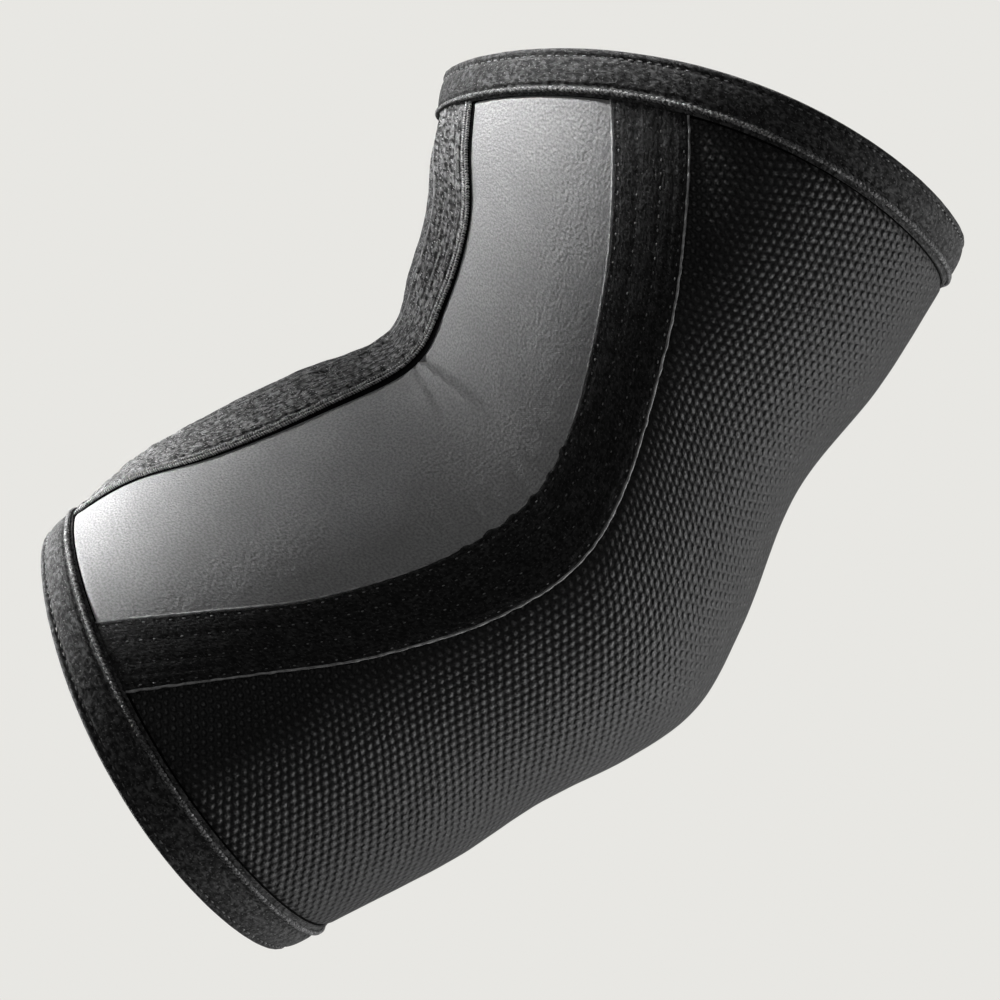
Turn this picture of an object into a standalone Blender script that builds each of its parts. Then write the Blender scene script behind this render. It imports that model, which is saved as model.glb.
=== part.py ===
"""Slip-on elbow pad: a closed neoprene sleeve, pre-bent at the elbow, lying on its side.

Metres, +Z up. The bend lies in the XY plane: the upper arm runs towards +X, the forearm towards -X,
and the crook of the arm faces +Y. Z = 0 is the surface that the sleeve lies on, and X = Y = 0 is the
middle of its outline. The left side of the sleeve faces up and the right side faces down.
The sleeve bends at the elbow about a vertical axis, so its foam has a forearm, an elbow and an upper
stretch: the two end stretches keep their shape and the one between them is what bends.

Every piece is a slab of one wall. A place on that wall is given by three numbers:
  station  0 at the forearm hem, 10 at the upper hem, one whole number at each rib below
  column   0 on the crook line, COLUMN_OUTER on the outer elbow line, counted round one side
  inset    depth below the outer face of the wall in metres, negative outside it
"""
import math

import bmesh
import bpy

# Ribs from the forearm hem to the upper hem, in millimetres and degrees: the crook point, the outer
# point, the half depth across the bend, the angle of the crook tape's edge that faces the side panel,
# the angle of the seam between side panel and outer panel, and how far the rib bows towards the upper
# hem at its sides. Angles run from the crook line.
RIBS = (
    ((-76.3, 64.0), (-104.0, -34.4), 42.0, 10.0, 63.0, -5.3),
    ((-68.0, 63.8), (-94.0, -38.4), 42.0, 12.0, 66.5, -4.0),
    ((-52.0, 63.0), (-64.0, -48.2), 41.3, 24.0, 79.0, -2.3),
    ((-36.0, 60.0), (-41.0, -53.3), 40.6, 36.0, 90.0, -1.0),
    ((-13.0, 52.4), (-19.0, -60.4), 40.2, 40.0, 94.5, -0.3),
    ((8.0, 43.8), (-1.0, -62.8), 40.0, 38.0, 93.0, 0.0),
    ((22.0, 50.2), (19.0, -56.9), 40.0, 41.0, 94.5, 0.4),
    ((34.0, 57.0), (47.0, -45.0), 40.4, 40.0, 91.5, 1.8),
    ((43.0, 64.5), (77.0, -41.3), 41.2, 34.0, 82.5, 4.8),
    ((51.0, 69.0), (102.5, -35.0), 42.2, 29.0, 74.0, 10.0),
    ((59.0, 74.4), (111.8, -31.3), 42.6, 28.0, 70.0, 10.0),
)
OUTLINE_MIDDLE = (4.0, 6.2)  # the middle of the sleeve's outline, where the part has its origin
LAST_STATION = len(RIBS) - 1
MM = 0.001

# The wall: knit face, foam core and lining, with a bond line between them.
FABRIC = 0.0006
CORE = 0.0032
BOND = 0.0003
FACE_INSETS = (0.0, FABRIC)
CORE_INSETS = (FABRIC + BOND, FABRIC + BOND + CORE)
LINING_INSETS = (FABRIC + CORE + 2 * BOND, 2 * FABRIC + CORE + 2 * BOND)
WALL = LINING_INSETS[1]

# Trim on the wall.
TAPE_WIDTH = 0.016
TAPE_PROUD = BOND + FABRIC
TAPE_INSETS = (-TAPE_PROUD, -BOND)
BINDING_CLOTH = 0.0008
BINDING_GAP = 0.0006
BINDING_PROUD = BINDING_GAP + BINDING_CLOTH

MIDDLE_HEIGHT = 0.0396  # how high the middle of the sleeve is, as it lies on its right side

# Columns round one side of the sleeve.
COLUMN_TAPE_INNER = 1
COLUMN_CROOK_SEAM = 2
COLUMN_TAPE_OUTER = 3
COLUMN_SIDE_TAPE = 6
COLUMN_OUTER_SEAM = 7
COLUMN_BACK_TAPE = 8
COLUMN_OUTER = 13
NARROWEST_ANGLE = math.radians(2.5)
TRIM = 0.0002  # what each slab is cut back by along its long edges

# Stations: where the wall ends inside the hem bindings, where the bindings end, and where the
# stretch that bends with the elbow begins and ends.
WALL_END = 0.15
BINDING_EDGE = 1.0
TAPE_END = 1.04
ELBOW_START = 2.5
ELBOW_END = 7.75
ZONE_GAP = 0.01
FOREARM_STATIONS = (WALL_END, BINDING_EDGE, 1.75, ELBOW_START - ZONE_GAP)
ELBOW_STATIONS = (ELBOW_START + ZONE_GAP, 3.3, 4.1, 4.7, 5.25, 5.9, 6.6, ELBOW_END - ZONE_GAP)
UPPER_STATIONS = (ELBOW_END + ZONE_GAP, 8.4, LAST_STATION - BINDING_EDGE, LAST_STATION - WALL_END)
ZONES = {"forearm": FOREARM_STATIONS, "elbow": ELBOW_STATIONS, "upper": UPPER_STATIONS}
WHOLE_STATIONS = (
    FOREARM_STATIONS[:-1] + (ELBOW_START,) + ELBOW_STATIONS[1:-1] + (ELBOW_END,) + UPPER_STATIONS[1:]
)
TAPE_STATIONS = (TAPE_END,) + WHOLE_STATIONS[2:-2] + (LAST_STATION - TAPE_END,)

# Colour and roughness of each cloth.
CLOTHS = {
    "grey_jersey": ((0.30, 0.30, 0.30), 0.7),
    "black_mesh": ((0.025, 0.025, 0.027), 0.8),
    "charcoal_knit": ((0.055, 0.055, 0.06), 0.85),
    "neoprene_foam": ((0.02, 0.02, 0.02), 0.9),
    "black_lining": ((0.03, 0.03, 0.032), 0.85),
}


def between(values, station):
    """A smooth value at a station, from one value for each rib (Catmull-Rom)."""
    index = min(max(int(station), 0), LAST_STATION - 1)
    part = station - index
    before, here, there, after = (
        values[min(max(index + step, 0), LAST_STATION)] for step in (-1, 0, 1, 2)
    )
    return 0.5 * (
        2 * here
        + (there - before) * part
        + (2 * before - 5 * here + 4 * there - after) * part**2
        + (3 * here - before - 3 * there + after) * part**3
    )


def outline_point(side, station):
    """A point in plan on the crook line (side 0) or on the outer elbow line (side 1)."""
    point = [between([rib[side][axis] for rib in RIBS], station) for axis in (0, 1)]
    return [(value - middle) * MM for value, middle in zip(point, OUTLINE_MIDDLE)]


def section(station):
    """The elliptical section at a station: centre, unit vector to the crook, half width, half depth."""
    crook, outer = outline_point(0, station), outline_point(1, station)
    centre = [(a + b) / 2 for a, b in zip(crook, outer)]
    half_width = math.dist(crook, outer) / 2
    across = [(a - b) / (2 * half_width) for a, b in zip(crook, outer)]
    half_depth = between([rib[2] for rib in RIBS], station) * MM
    return centre, across, half_width, half_depth


def tape_angle(angle, half_width, half_depth):
    """The angle that the tape's width takes up round the section, near an angle."""
    return TAPE_WIDTH / math.hypot(half_width * math.sin(angle), half_depth * math.cos(angle))


def column_angle(station, column):
    """The angle round the section, from the crook line, of a column."""
    _, _, half_width, half_depth = section(station)
    crook_edge = math.radians(between([rib[3] for rib in RIBS], station))
    seam = math.radians(between([rib[4] for rib in RIBS], station))
    crook_inner = crook_edge - tape_angle(crook_edge * 0.7, half_width, half_depth)
    half_tape = tape_angle(seam, half_width, half_depth) / 2
    knots = (
        (0, 0.0),
        (COLUMN_TAPE_INNER, max(crook_inner, NARROWEST_ANGLE)),
        (COLUMN_TAPE_OUTER, crook_edge),
        (COLUMN_SIDE_TAPE, seam - half_tape),
        (COLUMN_BACK_TAPE, seam + half_tape),
        (COLUMN_OUTER, math.pi),
    )
    for (low, low_angle), (high, high_angle) in zip(knots, knots[1:]):
        if column <= high:
            return low_angle + (high_angle - low_angle) * (column - low) / (high - low)
    return math.pi


def lowest(station, inset):
    """The height at which the wall flattens: bindings and tapes lie on the ground, cloth above them."""
    bound = station <= BINDING_EDGE or station >= LAST_STATION - BINDING_EDGE
    return (BINDING_PROUD if bound else TAPE_PROUD) + inset


def wall_point(station, column, inset, trim=0.0):
    """The place in space of a station, column and inset, moved round the section by a trim.

    Columns below 0 or above the outer elbow line are on the right side.
    """
    if column > COLUMN_OUTER:
        column -= 2 * COLUMN_OUTER
    centre, across, half_width, half_depth = section(station)
    angle = math.copysign(1, column) * column_angle(station, abs(column))
    angle += trim / math.hypot(half_width * math.sin(angle), half_depth * math.cos(angle))
    out, up = math.cos(angle), math.sin(angle)
    normal = math.hypot(half_depth * out, half_width * up)
    reach = half_width * out - inset * half_depth * out / normal
    rise = half_depth * up - inset * half_width * up / normal
    bow = between([rib[5] for rib in RIBS], station) * MM * up**2
    x = centre[0] + across[0] * reach + across[1] * bow
    y = centre[1] + across[1] * reach - across[0] * bow
    z = max(MIDDLE_HEIGHT + rise, lowest(station, inset))
    return x, y, z


def make_material(name):
    colour, roughness = CLOTHS[name]
    material = bpy.data.materials.get(name) or bpy.data.materials.new(name)
    material.use_nodes = True
    shader = material.node_tree.nodes["Principled BSDF"]
    shader.inputs["Base Color"].default_value = (*colour, 1.0)
    shader.inputs["Roughness"].default_value = roughness
    shader.inputs["Metallic"].default_value = 0.0
    return material


def add_object(name, mesh_builder, cloth, collection):
    if mesh_builder.calc_volume(signed=True) < 0:
        bmesh.ops.reverse_faces(mesh_builder, faces=mesh_builder.faces[:])
    mesh = bpy.data.meshes.new(name)
    mesh_builder.to_mesh(mesh)
    mesh_builder.free()
    mesh.shade_smooth()
    mesh.set_sharp_from_angle(angle=math.radians(50))
    mesh.materials.append(make_material(cloth))
    collection.objects.link(bpy.data.objects.new(name, mesh))


def add_slab(name, stations, columns, insets, cloth, collection):
    """A slab of the wall between two insets: a flat grid, thickened, then bent onto the sleeve."""
    slab = bmesh.new()
    rows, lanes = len(stations) - 1, len(columns) - 1
    bmesh.ops.create_grid(slab, x_segments=rows, y_segments=lanes, size=0.5)
    bmesh.ops.solidify(slab, geom=slab.faces[:], thickness=1.0)
    middle = sum(vert.co.z for vert in slab.verts) / len(slab.verts)
    for vert in slab.verts:
        station = stations[round((vert.co.x + 0.5) * rows)]
        lane = round((vert.co.y + 0.5) * lanes)
        inset = insets[0] if vert.co.z > middle else insets[1]
        trim = {0: TRIM, lanes: -TRIM}.get(lane, 0.0)
        vert.co = wall_point(station, columns[lane], inset, trim)
    add_object(name, slab, cloth, collection)


def add_panel(name, columns, face_cloth, collection):
    """One panel of the wall: a face, a lining, and a foam core for each stretch of the sleeve."""
    add_slab(f"{name}_face", WHOLE_STATIONS, columns, FACE_INSETS, face_cloth, collection)
    add_slab(f"{name}_lining", WHOLE_STATIONS, columns, LINING_INSETS, "black_lining", collection)
    for zone, stations in ZONES.items():
        add_slab(f"{name}_foam_{zone}", stations, columns, CORE_INSETS, "neoprene_foam", collection)


def add_binding(name, hem_station, direction, collection):
    """A folded strip of cloth round a hem: its profile, carried round the sleeve and welded shut."""
    outer, under = -BINDING_PROUD, -BINDING_GAP
    inner, over = WALL + BINDING_PROUD, WALL + BINDING_GAP
    profile = (
        (BINDING_EDGE, outer),
        (0.10, outer),
        (0.02, 0.2 * WALL),
        (0.0, 0.5 * WALL),
        (0.02, 0.8 * WALL),
        (0.10, inner),
        (BINDING_EDGE, inner),
        (BINDING_EDGE, over),
        (0.12, over),
        (0.10, 0.5 * WALL),
        (0.12, under),
        (BINDING_EDGE, under),
    )
    columns = range(-COLUMN_OUTER, COLUMN_OUTER)
    ring = bmesh.new()
    bmesh.ops.create_grid(ring, x_segments=len(columns), y_segments=len(profile), size=0.5)
    for vert in ring.verts:
        column = columns[round((vert.co.x + 0.5) * len(columns)) % len(columns)]
        reach, inset = profile[round((vert.co.y + 0.5) * len(profile)) % len(profile)]
        vert.co = wall_point(hem_station + direction * reach, column, inset)
    bmesh.ops.remove_doubles(ring, verts=ring.verts[:], dist=1e-7)
    add_object(name, ring, "charcoal_knit", collection)


def add_panels(collection):
    crook = range(-COLUMN_CROOK_SEAM, COLUMN_CROOK_SEAM + 1)
    left = range(COLUMN_CROOK_SEAM, COLUMN_OUTER_SEAM + 1)
    right = range(-COLUMN_OUTER_SEAM, -COLUMN_CROOK_SEAM + 1)
    outer = range(COLUMN_OUTER_SEAM, 2 * COLUMN_OUTER - COLUMN_OUTER_SEAM + 1)
    add_panel("crook_gusset", crook, "charcoal_knit", collection)
    add_panel("left_side_panel", left, "grey_jersey", collection)
    add_panel("right_side_panel", right, "grey_jersey", collection)
    add_panel("outer_panel", outer, "black_mesh", collection)


def add_tapes(collection):
    for place, seam in (("crook", COLUMN_CROOK_SEAM), ("outer", COLUMN_OUTER_SEAM)):
        for side, middle in (("left", seam), ("right", -seam)):
            columns = range(middle - 1, middle + 2)
            add_slab(f"{side}_{place}_tape", TAPE_STATIONS, columns, TAPE_INSETS, "charcoal_knit", collection)


def main():
    for item in list(bpy.data.objects):
        bpy.data.objects.remove(item, do_unlink=True)
    collection = bpy.data.collections.new("elbow_pad")
    bpy.context.scene.collection.children.link(collection)
    add_panels(collection)
    add_tapes(collection)
    add_binding("forearm_hem_binding", 0, 1, collection)
    add_binding("upper_hem_binding", LAST_STATION, -1, collection)


main()
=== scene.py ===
"""Looks of the slip-on elbow pad: knit faces, linings, foam, taped seams, bound hems and sewing thread.

Metres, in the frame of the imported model: +X upper arm, -X forearm, +Y crook, +Z up, Z = 0 the ground.
A place on the wall is given by three numbers, the same as in the model:
  station  0 at the forearm hem, 10 at the upper hem
  column   0 on the crook line, 13 on the outer elbow line, negative on the right side
  inset    depth below the outer face of the wall, negative outside it
Every cloth carries a UV map in metres, u round the sleeve and v along it, so that its knit keeps its
true size and stays on the cloth when the elbow bends.
"""
import math

import bpy
import numpy as np
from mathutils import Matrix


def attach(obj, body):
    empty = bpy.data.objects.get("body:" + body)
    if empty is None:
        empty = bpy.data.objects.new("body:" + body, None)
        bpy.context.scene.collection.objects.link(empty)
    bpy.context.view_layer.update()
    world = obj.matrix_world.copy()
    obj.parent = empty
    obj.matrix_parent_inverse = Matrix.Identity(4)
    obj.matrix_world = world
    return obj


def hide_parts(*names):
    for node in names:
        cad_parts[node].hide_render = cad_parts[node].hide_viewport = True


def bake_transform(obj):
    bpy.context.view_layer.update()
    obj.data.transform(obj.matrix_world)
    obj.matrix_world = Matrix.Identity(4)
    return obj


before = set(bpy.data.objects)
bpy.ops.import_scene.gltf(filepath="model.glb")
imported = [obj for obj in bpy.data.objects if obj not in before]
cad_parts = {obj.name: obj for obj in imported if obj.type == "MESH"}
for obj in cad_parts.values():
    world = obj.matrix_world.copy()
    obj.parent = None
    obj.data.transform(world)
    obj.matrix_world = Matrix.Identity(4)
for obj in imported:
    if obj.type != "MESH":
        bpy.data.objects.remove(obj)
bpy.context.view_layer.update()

MM = 0.001

# Ribs from the forearm hem to the upper hem, in millimetres and degrees: the crook point, the outer
# point, the half depth, the angle of the crook tape's edge, the angle of the outer seam, and how far
# the rib bows towards the upper hem at its sides.
RIBS = (
    ((-76.3, 64.0), (-104.0, -34.4), 42.0, 10.0, 63.0, -5.3),
    ((-68.0, 63.8), (-94.0, -38.4), 42.0, 12.0, 66.5, -4.0),
    ((-52.0, 63.0), (-64.0, -48.2), 41.3, 24.0, 79.0, -2.3),
    ((-36.0, 60.0), (-41.0, -53.3), 40.6, 36.0, 90.0, -1.0),
    ((-13.0, 52.4), (-19.0, -60.4), 40.2, 40.0, 94.5, -0.3),
    ((8.0, 43.8), (-1.0, -62.8), 40.0, 38.0, 93.0, 0.0),
    ((22.0, 50.2), (19.0, -56.9), 40.0, 41.0, 94.5, 0.4),
    ((34.0, 57.0), (47.0, -45.0), 40.4, 40.0, 91.5, 1.8),
    ((43.0, 64.5), (77.0, -41.3), 41.2, 34.0, 82.5, 4.8),
    ((51.0, 69.0), (102.5, -35.0), 42.2, 29.0, 74.0, 10.0),
    ((59.0, 74.4), (111.8, -31.3), 42.6, 28.0, 70.0, 10.0),
)
OUTLINE_MIDDLE = (4.0, 6.2)
LAST_STATION = len(RIBS) - 1
MIDDLE_STATION = LAST_STATION / 2
MIDDLE_HEIGHT = 39.6 * MM
NARROWEST_ANGLE = math.radians(2.5)
CLEAR = 0.05 * MM  # the least height above the ground
LOFT_SHARP = math.radians(50)

# The wall's layers and trim.
FABRIC = 0.6 * MM
BOND = 0.3 * MM
CORE = 3.2 * MM
WALL = 5.0 * MM
TAPE_WIDTH = 16 * MM
TAPE_TOP = FABRIC + BOND
BINDING_CLOTH = 0.8 * MM
BINDING_GAP = 0.6 * MM
BINDING_TOP = BINDING_CLOTH + BINDING_GAP
BINDING_DEPTH = 10 * MM  # one station: the first and the last rib stand this far from the hem
SEAM_TRIM = 0.15 * MM

# Columns round one side of the sleeve.
TAPE_INNER, CROOK_SEAM, TAPE_OUTER = 1, 2, 3
SIDE_TAPE, OUTER_SEAM, BACK_TAPE, OUTER_LINE = 6, 7, 8, 13

# Stations.
WALL_START, WALL_STOP = 0.15, LAST_STATION - 0.15
TAPE_START, TAPE_STOP = 1.04, LAST_STATION - 1.04
TRIM_START, TRIM_STOP = 0.9, LAST_STATION - 0.9

# Where the cloth turns from the forearm to the upper arm.
FOREARM, UPPER = "forearm_section", "upper_section"

# Sewing.
TAPE_ROWS = (1.2 * MM, 5.3 * MM, 10.3 * MM, 15.1 * MM)  # from the edge beside the side panel
TAPE_PITCH = 2.85 * MM
TAPE_CREASE = 13.0 * MM
HEM_ROW = 3.1 * MM  # from the rim
HEM_PITCH = 2.0 * MM
WELT_ROW = 8.7 * MM
WELT_CORD = 9.55 * MM
WELT_PITCH = 1.1 * MM
CORD_RADIUS = 0.4 * MM
WRAP_PITCH = 0.56 * MM

# The outer panel's knit: rows of knots along the sleeve, each row set on from the one before.
KNOT_PITCH = 1.93 * MM
ROW_PITCH = 1.75 * MM
ROW_SHIFT = 0.68 * MM

# Folds in the crook: station and column of each dimple, and how deep, long and wide they are.
DIMPLES = ((4.95, 1.25), (4.66, 1.3), (4.28, 1.25))
DIMPLE_DEPTH = 1.5 * MM
DIMPLE_LENGTH = 1.8 * MM
DIMPLE_WIDTH = 1.0 * MM

# Stations of the puckers where the side panel meets the outer tape, over the point of the elbow.
PUCKERS = (4.2, 4.48, 4.75, 5.05, 5.38, 5.7)

# Creases in a side panel's face: station and column of each end, depth and width.
CREASES = (
    ((5.1, 2.75), (5.36, 4.9), 1.1 * MM, 0.75 * MM),
    ((5.0, 3.0), (4.9, 4.2), 0.5 * MM, 0.75 * MM),
    ((4.6, 3.0), (4.25, 4.0), 0.12 * MM, 0.8 * MM),
    ((5.9, 3.0), (6.2, 4.0), 0.10 * MM, 0.9 * MM),
)

# The hidden side of a binding's cloth, from its inner edge round the end of the wall to its lower
# edge outside: distance from the rim and inset, in millimetres.
BINDING_BACK = (
    (10.0, 5.5), (6.0, 5.5), (3.2, 5.5), (2.2, 5.0), (2.2, 2.5), (2.2, 0.0), (3.2, -0.5), (6.0, -0.5),
    (10.3, -0.35),
)

# The stage: light levels of the floor and the world, and the camera.
FLOOR_SEEN = (0.806, 0.799, 0.769)
FLOOR_CAST = 0.2
WORLD_CAST = 0.045
CAMERA_DISTANCE = 0.45
VIEW_WIDTH = 0.2222
SENSOR_WIDTH = 36.0

# Soft boxes: place, the point each one faces, width and height, energy, and spread in degrees.
MIDDLE = (0.0, 0.0, 0.04)
LIGHTS = {
    "upper_key": ((0.085, 0.20, 0.08), (0.085, 0.045, 0.06), (0.06, 0.05), 0.083, 45),
    "forearm_key": ((-0.12, 0.19, 0.05), (-0.085, 0.04, 0.05), (0.06, 0.04), 0.06, 45),
    "side_key": ((-0.20, 0.12, 0.03), (-0.09, 0.03, 0.05), (0.08, 0.04), 0.063, 60),
    "crook_key": ((-0.02, 0.8, 0.06), MIDDLE, (0.5, 0.1), 0.35, 180),
    "rim": ((0.04, -0.26, 0.022), MIDDLE, (0.5, 0.07), 1.1, 180),
    "fill": ((-0.1, 0.3, 1.2), MIDDLE, (1.0, 1.0), 1.45, 180),
}


# ---------------------------------------------------------------- the wall

def between(values, station):
    """Smooth values at stations, from one value for each rib (Catmull-Rom)."""
    values = np.asarray(values, float)
    index = np.clip(station.astype(int), 0, LAST_STATION - 1)
    part = station - index
    before, here, there, after = (values[np.clip(index + step, 0, LAST_STATION)] for step in (-1, 0, 1, 2))
    slope = there - before
    square = 2 * before - 5 * here + 4 * there - after
    cube = 3 * here - before - 3 * there + after
    return 0.5 * (2 * here + slope * part + square * part**2 + cube * part**3)


def outline(side, station):
    """Plan coordinates of the crook line (side 0) or the outer elbow line (side 1)."""
    return [
        (between([rib[side][axis] for rib in RIBS], station) - OUTLINE_MIDDLE[axis]) * MM
        for axis in (0, 1)
    ]


def section(station):
    """The elliptical sections: centre, unit vector to the crook, half width and half depth."""
    crook, outer = outline(0, station), outline(1, station)
    centre = [(a + b) / 2 for a, b in zip(crook, outer)]
    width = np.hypot(crook[0] - outer[0], crook[1] - outer[1])
    across = [(a - b) / width for a, b in zip(crook, outer)]
    return centre, across, width / 2, between([rib[2] for rib in RIBS], station) * MM


def tape_angle(angle, half_width, half_depth):
    """The angle that the tape's width takes up round the section, near an angle."""
    return TAPE_WIDTH / np.hypot(half_width * np.sin(angle), half_depth * np.cos(angle))


def column_angle(station, column, half_width, half_depth):
    """Signed angle round the section; columns above the outer line are on the right side."""
    column = np.where(column > OUTER_LINE, column - 2 * OUTER_LINE, column)
    crook_edge = np.radians(between([rib[3] for rib in RIBS], station))
    seam = np.radians(between([rib[4] for rib in RIBS], station))
    crook_inner = crook_edge - tape_angle(crook_edge * 0.7, half_width, half_depth)
    half_tape = tape_angle(seam, half_width, half_depth) / 2
    knots = (
        (0, np.zeros_like(seam)),
        (TAPE_INNER, np.maximum(crook_inner, NARROWEST_ANGLE)),
        (TAPE_OUTER, crook_edge),
        (SIDE_TAPE, seam - half_tape),
        (BACK_TAPE, seam + half_tape),
        (OUTER_LINE, np.full_like(seam, math.pi)),
    )
    size = np.abs(column)
    angle = np.zeros_like(seam)
    for (low, low_angle), (high, high_angle) in zip(knots, knots[1:]):
        share = np.clip((size - low) / (high - low), 0, 1)
        angle = np.where(size >= low, low_angle + (high_angle - low_angle) * share, angle)
    return np.where(column < 0, -angle, angle)


def smooth_step(low, high, value):
    share = np.clip((value - low) / (high - low), 0, 1)
    return share * share * (3 - 2 * share)


def wall(station, column, inset=0.0, shift=0.0):
    """Points of the wall, moved round the section by a shift in metres away from the crook line."""
    station, column, inset, shift = np.broadcast_arrays(
        *(np.asarray(value, float) for value in (station, column, inset, shift))
    )
    centre, across, half_width, half_depth = section(station)
    angle = column_angle(station, column, half_width, half_depth)
    angle = angle + shift / np.hypot(half_width * np.sin(angle), half_depth * np.cos(angle))
    out, up = np.cos(angle), np.sin(angle)
    normal = np.hypot(half_depth * out, half_width * up)
    reach = half_width * out - inset * half_depth * out / normal
    rise = half_depth * up - inset * half_width * up / normal
    bow = between([rib[5] for rib in RIBS], station) * MM * up**2
    in_binding = smooth_step(MIDDLE_STATION - 1.15, MIDDLE_STATION - 1.0, np.abs(station - MIDDLE_STATION))
    ground = TAPE_TOP + (BINDING_TOP - TAPE_TOP) * in_binding + inset
    x = centre[0] + across[0] * reach + across[1] * bow
    y = centre[1] + across[1] * reach - across[0] * bow
    z = np.maximum(MIDDLE_HEIGHT + rise, np.maximum(ground, CLEAR))
    return np.stack([x, y, z], -1)


def lengths(points, axis=0):
    """Distance run along an axis of an array of points, from 0."""
    steps = np.linalg.norm(np.diff(points, axis=axis), axis=-1)
    run = np.cumsum(steps, axis=axis)
    return np.concatenate([np.zeros_like(np.take(run, [0], axis)), run], axis)


def even_stations(start, stop, step, column=OUTER_SEAM):
    """Stations about one step of cloth apart, measured along a column."""
    fine = np.linspace(start, stop, 600)
    run = lengths(wall(fine, column))
    return np.interp(np.linspace(0, run[-1], round(run[-1] / step) + 1), run, fine)


def lanes(low, high, count, gather=0.0):
    """Columns from low to high, closer together near both ends as gather goes from 0 to 1."""
    share = np.linspace(0, 1, count + 1)
    return low + (high - low) * (share - gather * np.sin(2 * math.pi * share) / (2 * math.pi))


def join_lanes(*runs):
    """Runs of columns one after the other, without the points they share."""
    return np.concatenate([runs[0]] + [run[1:] for run in runs[1:]])


def bell(offset, width):
    return np.exp(-((offset / width) ** 2))


def ripple(u, v, size, seed, count=10):
    """Smooth random waves of about one size, from about -1 to 1."""
    random = np.random.default_rng(seed)
    total = np.zeros(np.broadcast(u, v).shape)
    for _ in range(count):
        heading = random.uniform(0, 2 * math.pi)
        pitch = size * random.uniform(0.7, 1.6)
        phase = random.uniform(0, 2 * math.pi)
        total += np.sin(2 * math.pi * (u * math.cos(heading) + v * math.sin(heading)) / pitch + phase)
    return total / math.sqrt(2 * count)


def crook_folds(station, column):
    """How deep the whole wall sinks into the small folds beside the crook line, on both sides."""
    points = wall(station, column)
    depth = np.zeros(points.shape[:-1])
    for side in (1, -1):
        for place, lane in DIMPLES:
            centre = wall(place, side * lane)
            along = wall(place + 0.05, side * lane) - wall(place - 0.05, side * lane)
            along /= np.linalg.norm(along)
            run = (points - centre) @ along
            aside = np.linalg.norm(points - centre - run[..., None] * along, axis=-1)
            depth += DIMPLE_DEPTH * bell(run, DIMPLE_LENGTH) * bell(aside, DIMPLE_WIDTH)
    return depth


# ---------------------------------------------------------------- meshes

def signed_volume(points, faces):
    a, b, c, d = (points[faces[:, corner]] for corner in range(4))
    return (a * (np.cross(b, c) + np.cross(c, d))).sum()


def loft(name, rings, uv, material, closed=False):
    """A closed skin through rings of points. uv has one more point each way that closes."""
    count, width = rings.shape[:2]
    row, lane = np.meshgrid(np.arange(count if closed else count - 1), np.arange(width), indexing="ij")
    corners = ((row, lane), (row + 1, lane), (row + 1, lane + 1), (row, lane + 1))
    faces = [np.stack([(r % count) * width + k % width for r, k in corners], -1).reshape(-1, 4)]
    texture = [np.stack([uv[r, k] for r, k in corners], -2).reshape(-1, 4, 2)]
    if not closed:
        near = np.arange(width // 2 - 1)
        end = np.stack([near, near + 1, width - 2 - near, width - 1 - near], -1)
        for ring, order in ((0, end), (count - 1, end[:, ::-1])):
            faces.append(ring * width + order)
            texture.append(uv[ring][order])
    faces, texture = np.concatenate(faces), np.concatenate(texture)
    points = rings.reshape(-1, 3)
    if signed_volume(points, faces) < 0:
        faces, texture = faces[:, ::-1], texture[:, ::-1]
    return add_mesh(name, points, faces.tolist(), texture, material, LOFT_SHARP)


def add_mesh(name, points, faces, texture, material, sharp=None):
    """A piece from points and faces, with a UV map; edges above the sharp angle, if any, stay hard."""
    mesh = bpy.data.meshes.new(name)
    mesh.from_pydata(points.tolist(), [], faces)
    layer = mesh.uv_layers.new(name="weave")
    layer.data.foreach_set("uv", texture.astype(np.float32).ravel())
    mesh.shade_smooth()
    if sharp is not None:
        mesh.set_sharp_from_angle(angle=sharp)
    mesh.materials.append(material)
    piece = bpy.data.objects.new(name, mesh)
    bpy.context.scene.collection.objects.link(piece)
    return piece


def slab(name, station, column, top, bottom, material, shift=0.0):
    """A slab of cloth between two insets over a grid of stations and columns. Its UV map and its flat
    size are distances on the outer face of the wall."""
    station, column = station[:, None], np.atleast_2d(column)
    upper, lower = wall(station, column, top, shift), wall(station, column, bottom, shift)
    flat = wall(station, column, 0.0, shift)
    around = lengths(flat, 1)
    around -= around[:, [around.shape[1] // 2]]
    along = np.broadcast_to(lengths(flat).mean(1)[:, None], around.shape)
    uv = np.stack([around, along], -1)
    rings = np.concatenate([upper, lower[:, ::-1]], 1)
    piece = loft(name, rings, np.concatenate([uv, uv[:, ::-1], uv[:, :1]], 1), material)
    piece["flat_width"] = float(np.ptp(around, axis=1).mean())
    piece["flat_length"] = float(lengths(flat)[-1].mean())
    return piece


def tube(name, path, radius, material, sides=8):
    """A round thread along a path of points."""
    along = np.gradient(path, axis=0)
    along /= np.linalg.norm(along, axis=1)[:, None]
    side = np.cross(along, (0.0, 0.0, 1.0))
    side /= np.linalg.norm(side, axis=1)[:, None]
    up = np.cross(side, along)
    turn = np.linspace(0, 2 * math.pi, sides, endpoint=False)
    radius = np.broadcast_to(radius, len(path))[:, None, None]
    ring = side[:, None] * np.cos(turn)[None, :, None] + up[:, None] * np.sin(turn)[None, :, None]
    around = np.linspace(0, 2 * math.pi * float(radius.max()), sides + 1)
    uv = np.stack(np.meshgrid(lengths(path), around, indexing="ij"), -1)
    return loft(name, path[:, None] + ring * radius, uv[..., ::-1], material)


def unit_vectors(vectors):
    return vectors / (np.linalg.norm(vectors, axis=1)[:, None] + 1e-12)


def path_frame(path, above):
    """Vectors along a path, across it, and out of it towards the points above."""
    along, out = unit_vectors(np.gradient(path, axis=0)), unit_vectors(above - path)
    return along, np.cross(out, along), out


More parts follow.
